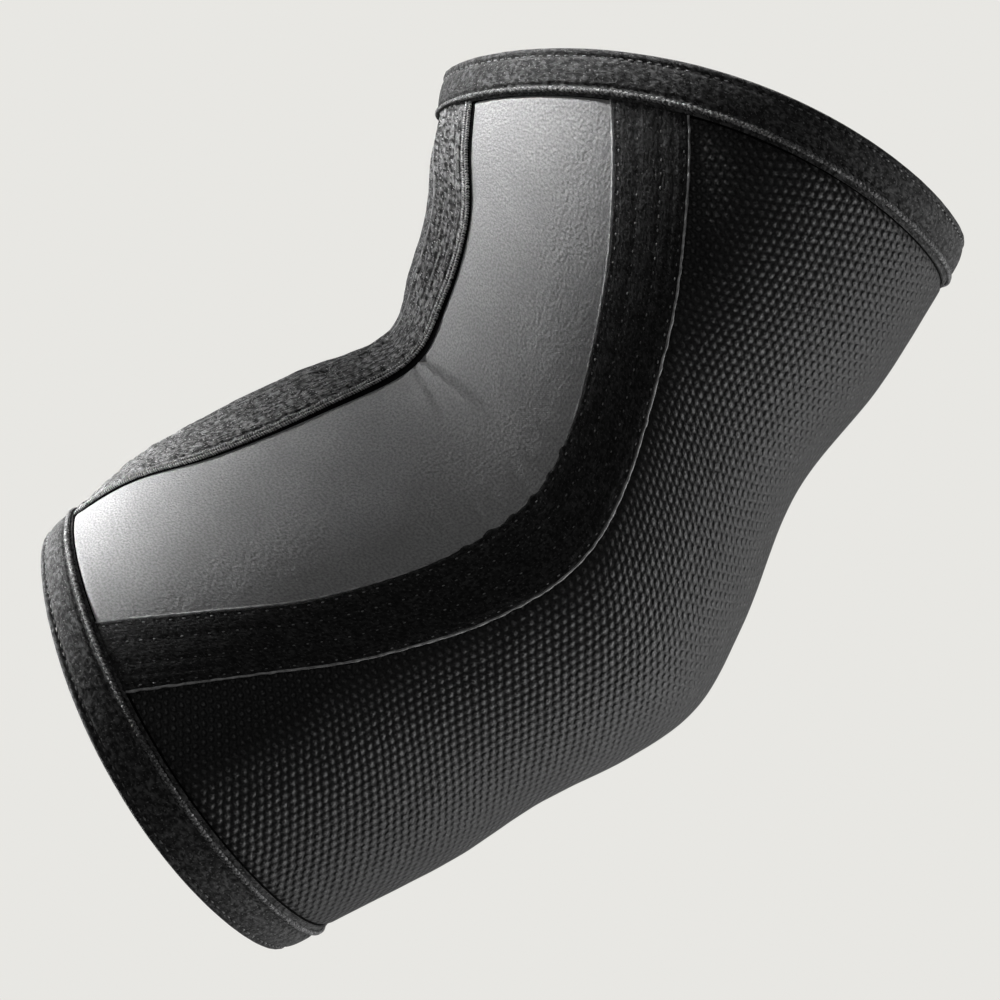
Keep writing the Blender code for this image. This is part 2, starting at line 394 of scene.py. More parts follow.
def line_frame(station, column, inset, shift=0.0):
    """Points along a line on the wall, with unit vectors along it, across it and out of the wall."""
    path = wall(station, column, inset, shift)
    along, across, out = path_frame(path, wall(station, column, inset - 0.5 * MM, shift))
    return path, along, unit_vectors(across), out


def every(frames, pitch, offset=0.5):
    """The places one pitch apart along a line."""
    run = lengths(frames[0])
    places = np.arange(offset * pitch, run[-1], pitch)
    return [np.stack([np.interp(places, run, part[:, axis]) for axis in range(3)], 1) for part in frames]


def bead_shape(rings=5, sides=6):
    """One stitch as a unit bead along X: rings of points between two tips, and its faces."""
    place = np.linspace(-0.85, 0.85, rings)
    size = np.sqrt(1 - place**2) ** 0.8
    turn = np.linspace(0, 2 * math.pi, sides, endpoint=False)
    body = [(x, r * math.cos(t), r * math.sin(t)) for x, r in zip(place, size) for t in turn]
    points = np.array([(-1.0, 0.0, 0.0)] + body + [(1.0, 0.0, 0.0)])
    faces = []
    for side in range(sides):
        after = (side + 1) % sides
        faces.append((0, 1 + after, 1 + side))
        last = 1 + (rings - 1) * sides
        faces.append((last + side, last + after, len(points) - 1))
        for ring in range(rings - 1):
            low, high = 1 + ring * sides, 1 + (ring + 1) * sides
            faces.append((low + side, low + after, high + after, high + side))
    return points, faces


def wrap_shape(steps=7, sides=4, thick=0.3):
    """One turn of thread over a cord of radius 1, across X, as a bent tube open below."""
    points, faces = [], []
    for step in range(steps):
        turn = math.radians(-25 + 230 * step / (steps - 1))
        for side in range(sides):
            spin = 2 * math.pi * side / sides
            reach = 1 + thick * math.cos(spin)
            points.append((thick * math.sin(spin), reach * math.cos(turn), reach * math.sin(turn)))
    for step in range(steps - 1):
        for side in range(sides):
            after = (side + 1) % sides
            low, high = step * sides, (step + 1) * sides
            faces.append((low + side, low + after, high + after, high + side))
    faces.append(tuple(reversed(range(sides))))
    faces.append(tuple(range((steps - 1) * sides, steps * sides)))
    return np.array(points), faces


def scatter(name, shape, places, size, material, dip=0.0):
    """Copies of a small shape along a line: size is length, width and height, and dip lowers its ends."""
    unit, faces = shape
    centre, along, across, out = (part[:, None] for part in places)
    x, y, z = (unit[None, :, axis, None] * size[axis] for axis in range(3))
    z = z - dip * (unit[None, :, 0, None] ** 2)
    points = (centre + along * x + across * y + out * z).reshape(-1, 3)
    points[:, 2] = np.maximum(points[:, 2], CLEAR)
    step, copies = len(unit), len(places[0])
    corners = [tuple(i + step * k for i in face) for k in range(copies) for face in faces]
    own = np.array([i for face in corners for i in face])
    copy, corner = own // step, unit[own % step]
    texture = np.stack([corner[:, 0] * size[0], copy * 3 * MM + corner[:, 1] * size[1]], 1)
    return add_mesh(name, points, corners, texture, material)


def gather_places(*sets):
    """Several sets of places as one."""
    return [np.concatenate(parts) for parts in zip(*sets)]


# ---------------------------------------------------------------- materials

class Cloth:
    """A material with short calls for the nodes that draw its threads. Lengths are in metres."""

    def __init__(self, name, roughness, sheen=0.0, sheen_roughness=0.5, specular=0.3):
        self.material = bpy.data.materials.new(name)
        self.material.use_nodes = True
        self.tree = self.material.node_tree
        self.shader = self.tree.nodes["Principled BSDF"]
        self.shader.inputs["Roughness"].default_value = roughness
        self.shader.inputs["Sheen Weight"].default_value = sheen
        self.shader.inputs["Sheen Roughness"].default_value = sheen_roughness
        self.shader.inputs["Specular IOR Level"].default_value = specular
        weave = self.tree.nodes.new("ShaderNodeUVMap")
        weave.uv_map = "weave"
        self.uv = weave.outputs["UV"]
        split = self.tree.nodes.new("ShaderNodeSeparateXYZ")
        self.tree.links.new(self.uv, split.inputs[0])
        self.u, self.v = split.outputs[0], split.outputs[1]

    def feed(self, socket, value):
        if isinstance(value, bpy.types.NodeSocket):
            self.tree.links.new(value, socket)
        else:
            socket.default_value = value

    def math(self, operation, *values):
        node = self.tree.nodes.new("ShaderNodeMath")
        node.operation = operation
        for socket, value in zip(node.inputs, values):
            self.feed(socket, value)
        return node.outputs[0]

    def add(self, first, second):
        return self.math("ADD", first, second)

    def times(self, first, second):
        return self.math("MULTIPLY", first, second)

    def turn(self, coordinate, pitch, phase=0.0):
        """The angle of a wave of one pitch along a coordinate."""
        return self.math("MULTIPLY_ADD", coordinate, 2 * math.pi / pitch, phase)

    def cosine(self, angle):
        return self.math("COSINE", angle)

    def ramp(self, value, low, high):
        """0 below low, 1 above high, smooth between."""
        node = self.tree.nodes.new("ShaderNodeMapRange")
        node.interpolation_type = "SMOOTHSTEP"
        self.feed(node.inputs["Value"], value)
        node.inputs["From Min"].default_value = low
        node.inputs["From Max"].default_value = high
        return node.outputs["Result"]

    def noise(self, size, stretch=(1.0, 1.0), turn=0.0, detail=2.0, distortion=0.0):
        """Noise whose blots are about one size, longer where stretch is above 1."""
        place = self.tree.nodes.new("ShaderNodeMapping")
        place.vector_type = "TEXTURE"
        place.inputs["Rotation"].default_value = (0.0, 0.0, turn)
        place.inputs["Scale"].default_value = (size * stretch[0], size * stretch[1], 1.0)
        self.tree.links.new(self.uv, place.inputs["Vector"])
        node = self.tree.nodes.new("ShaderNodeTexNoise")
        node.inputs["Scale"].default_value = 1.0
        node.inputs["Detail"].default_value = detail
        node.inputs["Distortion"].default_value = distortion
        self.tree.links.new(place.outputs[0], node.inputs["Vector"])
        return node.outputs["Fac"]

    def blend(self, factor, low, high):
        """A colour between two: each is a grey level, three numbers or a socket."""
        node = self.tree.nodes.new("ShaderNodeMix")
        node.data_type = "RGBA"
        self.feed(node.inputs["Factor"], factor)
        self.feed(node.inputs[6], colour(low))
        self.feed(node.inputs[7], colour(high))
        return node.outputs[2]

    def bump(self, height, depth, under=None):
        """Raises the surface by a height from 0 to 1 times a depth."""
        node = self.tree.nodes.new("ShaderNodeBump")
        node.inputs["Distance"].default_value = depth
        self.feed(node.inputs["Height"], height)
        if under is not None:
            self.tree.links.new(under, node.inputs["Normal"])
        return node.outputs[0]

    def finish(self, base, normal=None, roughness=None):
        self.feed(self.shader.inputs["Base Color"], base)
        if normal is not None:
            self.tree.links.new(normal, self.shader.inputs["Normal"])
        if roughness is not None:
            self.feed(self.shader.inputs["Roughness"], roughness)
        return self.material


def colour(value):
    """A grey level or three numbers as a colour; a socket stays as it is."""
    if isinstance(value, bpy.types.NodeSocket):
        return value
    if isinstance(value, (int, float)):
        return (value, value, value, 1.0)
    return (*value, 1.0)


def grey_jersey():
    """Brushed grey jersey: fine wales, a close grain, soft slanting wrinkles and a slight mottling."""
    cloth = Cloth("grey_jersey", 0.8, sheen=0.12, sheen_roughness=0.4, specular=0.2)
    wales = cloth.cosine(cloth.turn(cloth.u, 0.55 * MM))
    loops = cloth.cosine(cloth.turn(cloth.v, 0.42 * MM))
    knit = cloth.ramp(cloth.times(wales, loops), -1.0, 1.0)
    grain = cloth.noise(0.7 * MM, stretch=(1.0, 1.2), turn=-0.5, detail=4.0)
    fibre = cloth.noise(0.5 * MM, detail=2.0)
    wrinkle = cloth.noise(1.1 * MM, stretch=(0.9, 3.6), turn=-0.25, detail=2.0, distortion=0.3)
    mottle = cloth.noise(9 * MM, detail=3.0)
    relief = cloth.bump(knit, 0.03 * MM)
    relief = cloth.bump(grain, 0.32 * MM, relief)
    relief = cloth.bump(wrinkle, 0.09 * MM, relief)
    base = cloth.blend(cloth.ramp(fibre, 0.3, 0.7), 0.27, 0.45)
    base = cloth.blend(cloth.ramp(mottle, 0.3, 0.7), cloth.blend(0.3, base, 0.28), base)
    return cloth.finish(base, relief)


def honeycomb_mesh():
    """Black spacer knit: raised yarn knots on a slanting lattice, with painted shade in the cells between
    them and in the yarn's hollows, and painted highlights on the knots' tops.
    """
    cloth = Cloth("black_mesh", 0.5, sheen=0.14, sheen_roughness=0.4, specular=0.35)
    slip = cloth.times(cloth.add(cloth.noise(4 * MM, detail=2.0), -0.5), 1.9)
    across = cloth.add(cloth.turn(cloth.u, ROW_PITCH), slip)
    set_on = cloth.times(cloth.u, -2 * math.pi * ROW_SHIFT / (ROW_PITCH * KNOT_PITCH))
    along = cloth.add(cloth.add(cloth.turn(cloth.v, KNOT_PITCH), set_on), slip)
    slanted = cloth.times(cloth.cosine(cloth.add(across, along)), 1.3)
    knots = cloth.add(cloth.add(cloth.cosine(across), cloth.cosine(along)), slanted)
    height = cloth.ramp(knots, -1.7, 3.1)
    yarn = cloth.noise(0.45 * MM, detail=2.0)
    relief = cloth.bump(height, 0.45 * MM)
    relief = cloth.bump(yarn, 0.26 * MM, relief)
    uneven = cloth.ramp(cloth.noise(1.3 * MM, detail=1.0), 0.35, 0.75)
    # Painted shade: darker in the cells between the knots.
    base = cloth.blend(cloth.ramp(knots, -1.2, 1.6), 0.003, 0.022)
    # Painted shade: darker in the hollows of the yarn.
    base = cloth.blend(cloth.ramp(yarn, 0.55, 0.35), base, 0.006)
    # Painted highlights: pale spots on the knots' tops, brighter in random patches.
    painted_glint = cloth.times(cloth.ramp(knots, 0.7, 3.0), cloth.add(cloth.times(uneven, 0.85), 0.15))
    base = cloth.blend(cloth.times(painted_glint, cloth.ramp(yarn, 0.35, 0.6)), base, 0.13)
    return cloth.finish(base, relief)


def heather_knit(name, dark, light, fleck, rib=0.0, grain=0.6 * MM, sheen=0.1, painted_sheen=()):
    """Heathered knit tape: mixed dark and light fibres, a few bright flecks, ribs along it if any, and
    pale streaks of painted sheen between pairs of distances along it, faint at the first and full at the
    second."""
    cloth = Cloth(name, 0.85, sheen=sheen, sheen_roughness=0.5, specular=0.12)
    ribs = cloth.ramp(cloth.cosine(cloth.turn(cloth.u, 0.75 * MM)), -1.0, 1.0)
    heather = cloth.noise(grain, stretch=(1.0, 1.6), detail=3.0, distortion=0.5)
    clump = cloth.noise(1.6 * MM, stretch=(1.0, 1.5), detail=2.0)
    blot = cloth.noise(6 * MM, detail=2.0)
    specks = cloth.noise(0.45 * MM, detail=0.0)
    relief = cloth.bump(clump, 0.2 * MM)
    relief = cloth.bump(ribs, 0.3 * rib * MM, relief)
    relief = cloth.bump(heather, 0.35 * MM, relief)
    base = cloth.blend(cloth.ramp(heather, 0.36, 0.64), dark, light)
    # Painted shade: darker in the hollows between the clumps.
    base = cloth.blend(cloth.times(cloth.ramp(clump, 0.6, 0.38), 0.55), base, dark)
    # Painted shade: darker in the valleys between the ribs.
    base = cloth.blend(cloth.times(cloth.ramp(ribs, 0.6, 0.0), rib), base, dark)
    base = cloth.blend(cloth.times(cloth.ramp(blot, 0.62, 0.35), 0.4), base, dark)
    base = cloth.blend(cloth.ramp(specks, 0.66, 0.80), base, fleck)
    # Painted sheen: pale streaks beyond each first distance along the tape, standing in for light falling
    # there.
    streak = cloth.ramp(cloth.noise(2.6 * MM, stretch=(0.5, 2.6), detail=3.0, distortion=0.4), 0.5, 0.68)
    for faint, full in painted_sheen:
        shown = cloth.times(streak, cloth.ramp(cloth.v, faint, full))
        base = cloth.blend(cloth.times(shown, cloth.ramp(heather, 0.3, 0.6)), base, fleck)
    return cloth.finish(base, relief)


def lining_jersey():
    """Smooth black jersey on the inside: fine wales and a low sheen."""
    cloth = Cloth("black_lining", 0.7, sheen=0.25, sheen_roughness=0.35, specular=0.3)
    wales = cloth.cosine(cloth.turn(cloth.u, 0.8 * MM))
    loops = cloth.cosine(cloth.turn(cloth.v, 0.6 * MM))
    knit = cloth.ramp(cloth.add(wales, cloth.times(loops, 0.35)), -1.3, 1.3)
    fuzz = cloth.noise(1.2 * MM, detail=3.0)
    relief = cloth.bump(knit, 0.12 * MM)
    relief = cloth.bump(fuzz, 0.08 * MM, relief)
    # Painted shade: darker in the valleys of the knit.
    base = cloth.blend(knit, 0.012, 0.034)
    base = cloth.blend(cloth.ramp(fuzz, 0.4, 0.75), base, 0.05)
    return cloth.finish(base, relief)


def foam_rubber():
    """Closed-cell foam with small pores."""
    cloth = Cloth("neoprene_foam", 0.9, specular=0.2)
    pores = cloth.noise(0.6 * MM, detail=2.0)
    # Painted shade: darker in the pores.
    base = cloth.blend(cloth.ramp(pores, 0.3, 0.6), 0.006, 0.02)
    return cloth.finish(base, cloth.bump(pores, 0.1 * MM))


def painted_shade_strip():
    """Near-black cloth for the strips that stand in for the shade in the grooves beside the welts and the
    crook cords: painted shade.
    """
    cloth = Cloth("black_underlay", 0.95, specular=0.05)
    fuzz = cloth.noise(0.4 * MM, detail=2.0)
    base = cloth.blend(fuzz, 0.002, 0.006)
    return cloth.finish(base, cloth.bump(fuzz, 0.08 * MM))


def thread(name, dark, light):
    """Spun sewing thread: a fine twist, brighter at some stitches than at others."""
    cloth = Cloth(name, 0.6, sheen=0.2, sheen_roughness=0.4)
    twist = cloth.noise(0.25 * MM, detail=2.0)
    patch = cloth.noise(1.4 * MM, detail=1.0)
    level = cloth.add(cloth.times(twist, 0.35), cloth.times(cloth.ramp(patch, 0.32, 0.68), 0.65))
    return cloth.finish(cloth.blend(level, dark, light), cloth.bump(twist, 0.06 * MM))


# ---------------------------------------------------------------- baking and hiding

def bend(piece):
    """Bakes a piece's placement into its mesh."""
    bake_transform(piece)
    return piece


def cloth_piece(piece, nodes):
    """Hides the model's parts that a cloth piece stands in for."""
    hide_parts(*nodes)
    return piece


# ---------------------------------------------------------------- panels

def hem_gap(station):
    """Distance from the nearer rim, measured the way the bindings are."""
    return np.minimum(station, LAST_STATION - station) * BINDING_DEPTH


class Grid:
    """A panel's stations and columns, and the distances round and along it at each of its points."""

    def __init__(self, station, column):
        self.station, self.column = station, column
        self.points = wall(station[:, None], column[None, :])
        self.around = lengths(self.points, 1)
        self.along = lengths(self.points).mean(1)[:, None]
        self.folds = crook_folds(station[:, None], column[None, :])

    def past(self, column):
        """Distance round the sleeve beyond a column, on its side away from the first lane."""
        lane = int(np.argmin(np.abs(self.column - column)))
        return self.around - self.around[:, [lane]]

    def place(self, station, column):
        """Distances round and along the panel at a station and column."""
        row = int(np.argmin(np.abs(self.station - station)))
        return np.interp(column, self.column, self.around[row]), self.along[row, 0]

    def crease(self, start, stop, depth, width):
        """A sharp valley with a soft ridge beside it, from one place to another."""
        (u0, v0), (u1, v1) = self.place(*start), self.place(*stop)
        span = math.hypot(u1 - u0, v1 - v0)
        du, dv = (u1 - u0) / span, (v1 - v0) / span
        run = (self.around - u0) * du + (self.along - v0) * dv
        aside = (self.around - u0) * dv - (self.along - v0) * du
        fade = smooth_step(-0.15, 0.15, run / span) * (1 - smooth_step(0.55, 1.1, run / span))
        return depth * fade * (0.8 * bell(aside - 1.3 * width, 1.1 * width) - bell(aside, width))


def beside_hems(grid, height, shown):
    """A face lies flat under the bindings and swells up from the groove beside them."""
    past = hem_gap(grid.station)[:, None] - 10.45 * MM
    swell = 0.35 * MM * np.exp(-np.maximum(past, 0) / (4 * MM))
    return shown * smooth_step(0.0, 0.5 * MM, past) * (height + swell)


def side_height(grid, seed):
    """How far a side panel's face stands out: a low pillow with creases from the crook."""
    from_crook, to_outer = grid.past(TAPE_OUTER), -grid.past(SIDE_TAPE)
    near, far = np.maximum(from_crook, 0), np.maximum(to_outer, 0)
    elbow = bell(grid.station[:, None] - 5.1, 1.0)
    height = 0.8 * MM * (1 - np.exp(-near / (6 * MM))) * (0.4 + 0.6 * (1 - np.exp(-far / (6 * MM))))
    height -= 0.15 * MM * bell(near, 0.5 * MM)
    gathers = ripple(grid.around, grid.along * 2.2, 9 * MM, seed)
    height += 0.2 * MM * elbow * np.exp(-near / (9 * MM)) * gathers
    height += 0.10 * MM * ripple(grid.around, grid.along, 24 * MM, seed + 2)
    height += 0.03 * MM * ripple(grid.around, grid.along * 1.6, 5 * MM, seed + 3)
    for crease in CREASES:
        height += grid.crease(*crease)
    for order, place in enumerate(PUCKERS):
        slant = 0.05 if order % 2 else -0.04
        height += grid.crease((place, 6.15), (place + slant, 5.45), 0.32 * MM, 1.0 * MM)
    shown = (from_crook > 0) & (to_outer > -0.3 * MM)
    return beside_hems(grid, height, shown)


def outer_height(grid, seed):
    """The outer panel's face: it dips beside the tapes and is slightly uneven over the elbow."""
    edge = np.minimum(grid.past(BACK_TAPE), -grid.past(2 * OUTER_LINE - BACK_TAPE))
    far = np.maximum(edge, 0)
    height = 0.4 * MM * (1 - np.exp(-far / (5 * MM))) - 0.25 * MM * bell(far, 0.9 * MM)
    height += 0.16 * MM * ripple(grid.around, grid.along, 38 * MM, seed)
    height += 0.04 * MM * ripple(grid.around, grid.along, 11 * MM, seed + 1)
    return beside_hems(grid, height, smooth_step(0.0, 0.4 * MM, edge))


def gusset_height(grid, seed):
    """The gusset's face: low pleats that run along the crook line."""
    edge = np.minimum(grid.past(-TAPE_INNER), -grid.past(TAPE_INNER))
    pleats = np.cos(2 * math.pi * (grid.around / (2.3 * MM) + 0.15 * ripple(0.0, grid.along, 30 * MM, seed)))
    height = 0.16 * MM * pleats * smooth_step(1.5, 3.0, grid.station[:, None])
    height += 0.12 * MM * ripple(grid.around, grid.along, 8 * MM, seed + 1)
    return beside_hems(grid, height, smooth_step(0.0, 0.5 * MM, edge))


def panel_lanes(edges):
    """Columns of a panel whose edges lie under tapes, closer together beside the tapes."""
    start, first, last, stop, count = edges
    return join_lanes(lanes(start, first, 8), lanes(first, last, count, 0.6), lanes(last, stop, 8))


PANELS = {
    "crook_gusset": (-CROOK_SEAM, -TAPE_INNER, TAPE_INNER, CROOK_SEAM, 40),
    "left_side_panel": (CROOK_SEAM, TAPE_OUTER, SIDE_TAPE, OUTER_SEAM, 64),
    "right_side_panel": (-OUTER_SEAM, -SIDE_TAPE, -TAPE_OUTER, -CROOK_SEAM, 64),
    "outer_panel": (
        OUTER_SEAM, BACK_TAPE, 2 * OUTER_LINE - BACK_TAPE, 2 * OUTER_LINE - OUTER_SEAM, 150,
    ),
}


def mirrored(grid):
    """A right side panel's grid seen as a left one."""
    return Grid(grid.station, -grid.column[::-1])


def face_height(name, grid):
    if name == "left_side_panel":
        return side_height(grid, 11)
    if name == "right_side_panel":
        return side_height(mirrored(grid), 31)[:, ::-1]
    if name == "outer_panel":
        return outer_height(grid, 51)
    return gusset_height(grid, 71)


def seam_trim(column):
    """Cuts a panel back a little along its two long edges."""
    shift = np.zeros(len(column))
    shift[0], shift[-1] = SEAM_TRIM, -SEAM_TRIM
    return shift


def add_face(name, cloth):
    column = panel_lanes(PANELS[name])
    grid = Grid(even_stations(WALL_START, WALL_STOP, 0.75 * MM), column)
    height = face_height(name, grid)
    top = grid.folds - height
    bottom = grid.folds + FABRIC - np.minimum(height, 0.2 * MM)
    piece = slab(f"{name}_face_cloth", grid.station, column, top, bottom, cloth, seam_trim(column))
    cloth_piece(piece, [f"{name}_face"])
    return bend(piece)


def add_foam(name, cloth):
    column = panel_lanes(PANELS[name])[::2]
    grid = Grid(even_stations(WALL_START + 0.02, WALL_STOP - 0.02, 3.0 * MM), column)
    top = grid.folds + FABRIC + BOND + 0.3 * MM
    nodes = [f"{name}_foam_{zone}" for zone in ("forearm", "elbow", "upper")]
    bottom = FABRIC + BOND + CORE
    piece = slab(f"{name}_foam_core", grid.station, column, top, bottom, cloth, seam_trim(column))
    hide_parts(*nodes)
    return bend(piece)


def add_lining(name, cloth):
    """The lining bulges a little between its seams and between the rows that hold it at the hems."""
    column = panel_lanes(PANELS[name])
    grid = Grid(even_stations(WALL_START, WALL_STOP, 1.5 * MM), column)
    edge = np.minimum(grid.around, grid.around[:, [-1]] - grid.around)
    swell = 0.35 * MM * (1 - np.exp(-edge / (2.5 * MM))) - 0.1 * MM
    swell += 0.12 * MM * ripple(grid.around, grid.along, 14 * MM, 91)
    bottom = WALL + np.maximum(swell, -0.1 * MM)
    top, trim = WALL - FABRIC, seam_trim(column)
    piece = slab(f"{name}_lining_cloth", grid.station, column, top, bottom, cloth, trim)
    cloth_piece(piece, [f"{name}_lining"])
    return bend(piece)


# ---------------------------------------------------------------- tapes

def outer_tape_height(station, across, along):
    """The outer tape's relief: rolled edges, stitched valleys, puckers and a pressed crease."""
    height = np.zeros(np.broadcast(across, along).shape)
    stitch = 2 * math.pi * along / TAPE_PITCH
    for order, row in enumerate(TAPE_ROWS):
        dent = 0.13 + 0.09 * np.cos(stitch + 1.7 * order)
        height -= dent * MM * bell(across - row, 0.55 * MM)
    height -= 0.12 * MM * bell(across - TAPE_CREASE, 0.3 * MM)
    elbow = bell(station - 5.2, 1.3)
    height += (0.04 + 0.10 * elbow) * MM * ripple(across, along * 1.5, 8 * MM, 101)
    height += (0.02 + 0.03 * elbow) * MM * ripple(across * 1.5, along, 2.6 * MM, 102)
    edge = np.minimum(across, TAPE_WIDTH - across)
    return height - 0.45 * MM * np.exp(-edge / (0.22 * MM))


def add_outer_tape(side, cloth, stitches, raw):
    sign = 1 if side == "left" else -1
    station = even_stations(TAPE_START, TAPE_STOP, 0.6 * MM)
    across = lanes(0.0, TAPE_WIDTH, 44, 0.45)[None, :]
    along = lengths(wall(station, OUTER_SEAM))[:, None]
    edge_wave = 0.12 * MM * ripple(0.0, along, 9 * MM, 103) * bell(station - 5.0, 2.5)[:, None]
    for place in PUCKERS:
        edge_wave -= 0.5 * MM * bell(station - place, 0.06)[:, None]
    shift = sign * (across - TAPE_WIDTH / 2 + edge_wave * (1 - across / TAPE_WIDTH) ** 4)
    top = -TAPE_TOP - outer_tape_height(station[:, None], across, along)
    column = np.full(across.shape[1], float(sign * OUTER_SEAM))
    tape = slab(f"{side}_outer_tape_cloth", station, column, top, -BOND, cloth, shift)
    rows = [tape_row(station, sign, row, order) for order, row in enumerate(TAPE_ROWS)]
    sewn = scatter(
        f"{side}_outer_tape_stitches", bead_shape(), gather_places(*rows),
        (0.34 * MM, 0.14 * MM, 0.13 * MM), stitches, dip=0.08 * MM,
    )
    edges = add_raw_edges(side, sign, raw)
    cloth_piece(tape, [f"{side}_outer_tape"])
    for piece in (tape, sewn, *edges):
        bend(piece)


def tape_row(station, sign, row, order):
    """The places of one row of stitches on an outer tape."""
    shift = sign * (row - TAPE_WIDTH / 2)
    frames = line_frame(station, float(sign * OUTER_SEAM), -TAPE_TOP + 0.1 * MM, shift)
    return every(frames, TAPE_PITCH, 0.5 + 0.25 * order)


def add_raw_edges(side, sign, material):
    """The pale cut edges of an outer tape: a full one at the back, a fine one beside the side panel."""
    station = even_stations(TAPE_START, TAPE_STOP, 0.7 * MM)
    along = lengths(wall(station, OUTER_SEAM))
    elbow = bell(station - 5.0, 2.2)
    sway = 0.11 * MM * ripple(0.0, along, 3.5 * MM, 104)
    swell = 1 + 0.25 * ripple(0.0, along, 2.2 * MM, 105)
    edges = (
        ("back", 1, 0.3 * MM * swell, sway),
        ("side", -1, (0.23 - 0.15 * elbow) * MM * swell, 0.2 * sway),
    )
    pieces = []
    for name, way, radius, shift in edges:
        shift = sign * (way * TAPE_WIDTH / 2 + way * 0.1 * MM + shift)
        path = wall(station, float(sign * OUTER_SEAM), -0.45 * MM, shift)
        path[:, 2] = np.maximum(path[:, 2], radius + CLEAR)
        pieces.append(tube(f"{side}_outer_tape_{name}_edge", path, radius, material))
    return pieces


def groove_width(station):
    """The channel between crook tape and side panel, lined with a strip of painted shade: widest where the
    crook folds.
    """
    return (0.15 + 1.2 * bell(station - 5.0, 1.2) + 0.45 * smooth_step(6.0, 8.0, station)) * MM


def crook_tape_height(station, to_edge, along):
    """The crook tape's relief: a ridge beside the cord, stitched valleys and long pleats."""
    upper = smooth_step(5.0, 6.2, station)
    lower = 1 - smooth_step(4.2, 5.2, station)
    height = -0.45 * MM * bell(to_edge - 0.25 * MM, 0.25 * MM)
    height -= 0.45 * MM * bell(to_edge - 1.75 * MM, 0.4 * MM)
    pleat = np.cos(2 * math.pi * (to_edge / (2.6 * MM) + 0.12 * ripple(0.0, along, 26 * MM, 112)))
    height += 0.42 * MM * pleat * upper * smooth_step(2 * MM, 4 * MM, to_edge)
    height += 0.22 * MM * lower * ripple(to_edge * 1.8, along, 6 * MM, 113)
    height += 0.05 * MM * ripple(to_edge, along, 2.2 * MM, 114)
    return height


def add_crook_tape(side, cloth, shade_strip, stitches, wraps, raw):
    sign = 1 if side == "left" else -1
    station = even_stations(TAPE_START, TAPE_STOP, 0.6 * MM, TAPE_OUTER)
    share = lanes(0.0, 1.0, 40, 0.5)[None, :]
    inner, outer = wall(station, TAPE_INNER), wall(station, TAPE_OUTER)
    width = np.linalg.norm(outer - inner, axis=1)[:, None] * 1.02
    groove = groove_width(station)[:, None] + 2 * CORD_RADIUS
    to_edge = groove + (width - groove) * (1 - share)
    along = lengths(outer)[:, None]
    lane = TAPE_OUTER - (TAPE_OUTER - TAPE_INNER) * to_edge / width
    folds = crook_folds(station[:, None], sign * lane)
    rolled = 0.4 * MM * (np.exp(-(to_edge - groove) / (0.3 * MM)) + np.exp(-(width - to_edge) / (0.2 * MM)))
    height = crook_tape_height(station[:, None], to_edge - groove, along) - rolled
    top, bottom = folds - TAPE_TOP - height, folds - BOND
    tape = slab(f"{side}_crook_tape_cloth", station, sign * lane, top, bottom, cloth)
    strip = add_channel(side, sign, shade_strip)
    cord, turns = add_cord(side, sign, cloth, wraps)
    fine = crook_row(side, sign, wraps)
    rows = [crook_stitch_row(sign, beyond) for beyond in (2.6 * MM, 6.2 * MM)]
    sewn = scatter(
        f"{side}_crook_tape_stitches", bead_shape(), gather_places(*rows),
        (0.4 * MM, 0.15 * MM, 0.14 * MM), stitches, dip=0.08 * MM,
    )
    edge = add_crook_edge(side, sign, raw)
    cloth_piece(tape, [f"{side}_crook_tape"])
    for piece in (tape, strip, cord, turns, fine, sewn, edge):
        bend(piece)


def beyond_cord(station, sign, distance, inset):
    """A line on the crook tape at a distance from the middle of its cord, towards the crook line."""
    shift = -sign * (groove_width(station) + CORD_RADIUS + distance)
    return line_frame(station, float(sign * TAPE_OUTER), inset, shift)


def add_channel(side, sign, shade_strip):
    """The strip of painted shade that lines the channel between the cord and the side panel."""
    station = even_stations(TRIM_START, TRIM_STOP, 1.0 * MM, TAPE_OUTER)
    across = np.linspace(0, 1, 8)[None, :]
    reach = groove_width(station)[:, None] + 2 * CORD_RADIUS
    shift = -sign * reach * across
    column = np.full(across.shape[1], float(sign * TAPE_OUTER))
    top = -0.28 * MM + 0.1 * MM * np.cos(2 * math.pi * across)
    return slab(f"{side}_crook_channel", station, column, top, -0.03 * MM, shade_strip, shift)


def add_cord(side, sign, cloth, wraps):
    """The cord along the crook tape's edge, and the thread wrapped round it."""
    station = even_stations(TAPE_START, TAPE_STOP, 0.5 * MM, TAPE_OUTER)
    frames = beyond_cord(station, sign, 0.0, -0.75 * MM)
    cord = tube(f"{side}_crook_cord", frames[0], CORD_RADIUS * 0.9, cloth)
    places = every(frames, WRAP_PITCH)
    random = np.random.default_rng(5)
    slant = random.normal(0.4, 0.25, (len(places[0]), 1))
    along, across = places[1] + slant * places[2], places[2] - slant * places[1]
    size = (CORD_RADIUS * 0.95,) * 3
    turns = scatter(f"{side}_crook_wraps", wrap_shape(), [places[0], along, across, places[3]], size, wraps)
    return cord, turns


def crook_row(side, sign, wraps):
    """The finer row of crosswise stitches beside the cord."""
    station = even_stations(TAPE_START, TAPE_STOP, 0.5 * MM, TAPE_OUTER)
    centre, along, across, out = every(beyond_cord(station, sign, 1.15 * MM, -TAPE_TOP), WRAP_PITCH)
    random = np.random.default_rng(6)
    centre = centre + random.normal(0.0, 0.09 * MM, (len(centre), 1)) * across
    slant = random.normal(0.5, 0.3, (len(centre), 1))
    slanted, side_way = across + slant * along, along - slant * across
    size = (0.32 * MM, 0.16 * MM, 0.2 * MM)
    return scatter(f"{side}_crook_overcast", bead_shape(), [centre, slanted, side_way, out], size, wraps)


def crook_stitch_row(sign, beyond):
    station = even_stations(1.9, TAPE_STOP, 0.8 * MM, TAPE_OUTER)
    return every(beyond_cord(station, sign, beyond, -TAPE_TOP + 0.08 * MM), TAPE_PITCH)


